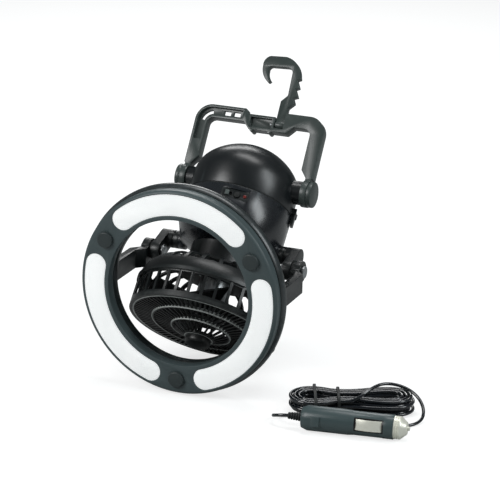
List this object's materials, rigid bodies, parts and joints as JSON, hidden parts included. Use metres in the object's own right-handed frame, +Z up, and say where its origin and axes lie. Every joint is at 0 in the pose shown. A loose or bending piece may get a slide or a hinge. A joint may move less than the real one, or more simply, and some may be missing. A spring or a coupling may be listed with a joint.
{
  "type": "portable camping fan",
  "caption": "Portable camping fan with a tilting ring light, round cage, battery housing, folding handle with a hook, and a coiled car lead.",
  "frame": {"origin": "on the floor, below the middle of the fan and ring light, leaving out the lead that lies beside them", "axes": "+X to the right seen from the front, +Y from the ring light back to the handle, +Z up"},
  "size_m": [0.3057, 0.2511, 0.2495],
  "materials": {
    "shell_gloss": "gloss",
    "shell_satin": "satin",
    "ring_satin": "satin",
    "handle_black": "satin",
    "guard_grey": "satin",
    "lens_white": "frosted",
    "steel": "satin",
    "chrome_metal": "polished",
    "brass_contact": "satin",
    "rubber_black": "matte",
    "board_green": "satin",
    "led_yellow": "gloss",
    "plug_grey": "satin",
    "plastic_white": "satin",
    "lamp_red": "gloss",
    "cord_black": "satin"
  },
  "bodies": {
    "fan": {"bracket_screws": "steel", "cage_back": "shell_satin", "cap_seal": "rubber_black", "cell_contacts": "brass_contact", "cell_cradle": "shell_satin", "charge_light": "lamp_red", "front_guard": "guard_grey", "hinge_nuts": "steel", "hinge_pins": "steel", "hinge_washers": "rubber_black", "housing_body": "shell_gloss", "housing_screws": "steel", "hub_cap": "guard_grey", "motor": "steel", "motor_plate": "steel", "motor_screws": "steel", "pivot_bracket_left": "shell_satin", "pivot_bracket_right": "shell_satin", "supply_socket": "shell_satin", "supply_socket_pin": "chrome_metal", "switch_panel": "shell_satin"},
    "ring": {"ring_front_cover": "ring_satin", "ring_rear_cover": "ring_satin", "lens_top": "lens_white", "lens_left": "lens_white", "lens_right": "lens_white", "led_board": "board_green", "leds": "led_yellow", "ring_feet": "rubber_black", "ring_screws": "steel", "arm_screws": "steel", "ring_arm_left": "shell_satin", "ring_arm_right": "shell_satin"},
    "rotor": {"impeller": "shell_satin", "motor_shaft": "steel"},
    "cap": {"battery_cap": "shell_satin", "cap_plate": "plastic_white", "cap_contacts": "brass_contact", "handle_pins": "steel"},
    "catch": {"cap_catch": "shell_satin"},
    "handle": {"handle": "handle_black", "handle_caps": "handle_black", "hook_pin": "steel"},
    "hook": {"hook": "handle_black"},
    "switch": {"fan_switch": "shell_satin"},
    "button": {"light_button": "rubber_black"},
    "lead": {"plug_body": "plug_grey", "plug_carrier": "shell_satin", "plug_fuse": "chrome_metal", "plug_nose": "chrome_metal", "plug_relief": "rubber_black", "lead_tail": "cord_black", "cord_hank": "cord_black", "hank_ties": "plastic_white", "lead_end": "cord_black", "supply_plug": "plug_grey", "supply_barrel": "chrome_metal"},
    "plug_pin": {"plug_tip": "chrome_metal"},
    "contact_near": {"plug_contact_near": "chrome_metal"},
    "contact_far": {"plug_contact_far": "chrome_metal"}
  },
  "joints": [
    {"name": "ring_tilt", "type": "hinge", "parent": "fan", "child": "ring", "pos_m": [0, -0.01046, 0.0917], "axis": [1, 0, 0], "range_deg": [-42.5, 47.5]},
    {"name": "fan_spin", "type": "hinge", "parent": "fan", "child": "rotor", "pos_m": [0, -0.04424, 0.05484], "axis": [0, 0.6756, 0.7373], "continuous": true},
    {"name": "cap_lift", "type": "slide", "parent": "fan", "child": "cap", "axis": [0, 0.6756, 0.7373], "range_m": [0, 0.07]},
    {"name": "catch_swing", "type": "hinge", "parent": "cap", "child": "catch", "pos_m": [0.04785, 0.03778, 0.12616], "axis": [0.2487, -0.7141, 0.6544], "range_deg": [0, 30]},
    {"name": "handle_swing", "type": "hinge", "parent": "cap", "child": "handle", "pos_m": [0, 0.03919, 0.14589], "axis": [1, 0, 0], "range_deg": [-108.5, 91.5]},
    {"name": "hook_fold", "type": "hinge", "parent": "handle", "child": "hook", "pos_m": [0, 0.07219, 0.1948], "axis": [-1, 0, 0], "range_deg": [0, 90]},
    {"name": "switch_travel", "type": "slide", "parent": "fan", "child": "switch", "axis": [0.9677, 0.1858, -0.1703], "range_m": [0, 0.0025]},
    {"name": "button_press", "type": "slide", "parent": "fan", "child": "button", "axis": [-0.2521, 0.7135, -0.6538], "range_m": [0, 0.0008], "stiffness_N_per_m": 800, "springref_m": -0.0005},
    {"name": "lead_away", "type": "slide", "parent": "fan", "child": "lead", "axis": [1, 0, 0], "range_m": [0, 0.2]},
    {"name": "plug_pin_press", "type": "slide", "parent": "lead", "child": "plug_pin", "axis": [-0.9877, -0.1564, 0], "range_m": [0, 0.0015], "stiffness_N_per_m": 1000, "springref_m": -0.001},
    {"name": "contact_near_press", "type": "slide", "parent": "lead", "child": "contact_near", "axis": [-0.1511, 0.954, -0.2588], "range_m": [0, 0.0006], "stiffness_N_per_m": 2000, "springref_m": -0.0002},
    {"name": "contact_far_press", "type": "slide", "parent": "lead", "child": "contact_far", "axis": [0.1511, -0.954, 0.2588], "range_m": [0, 0.0006], "stiffness_N_per_m": 2000, "springref_m": -0.0002}
  ]
}
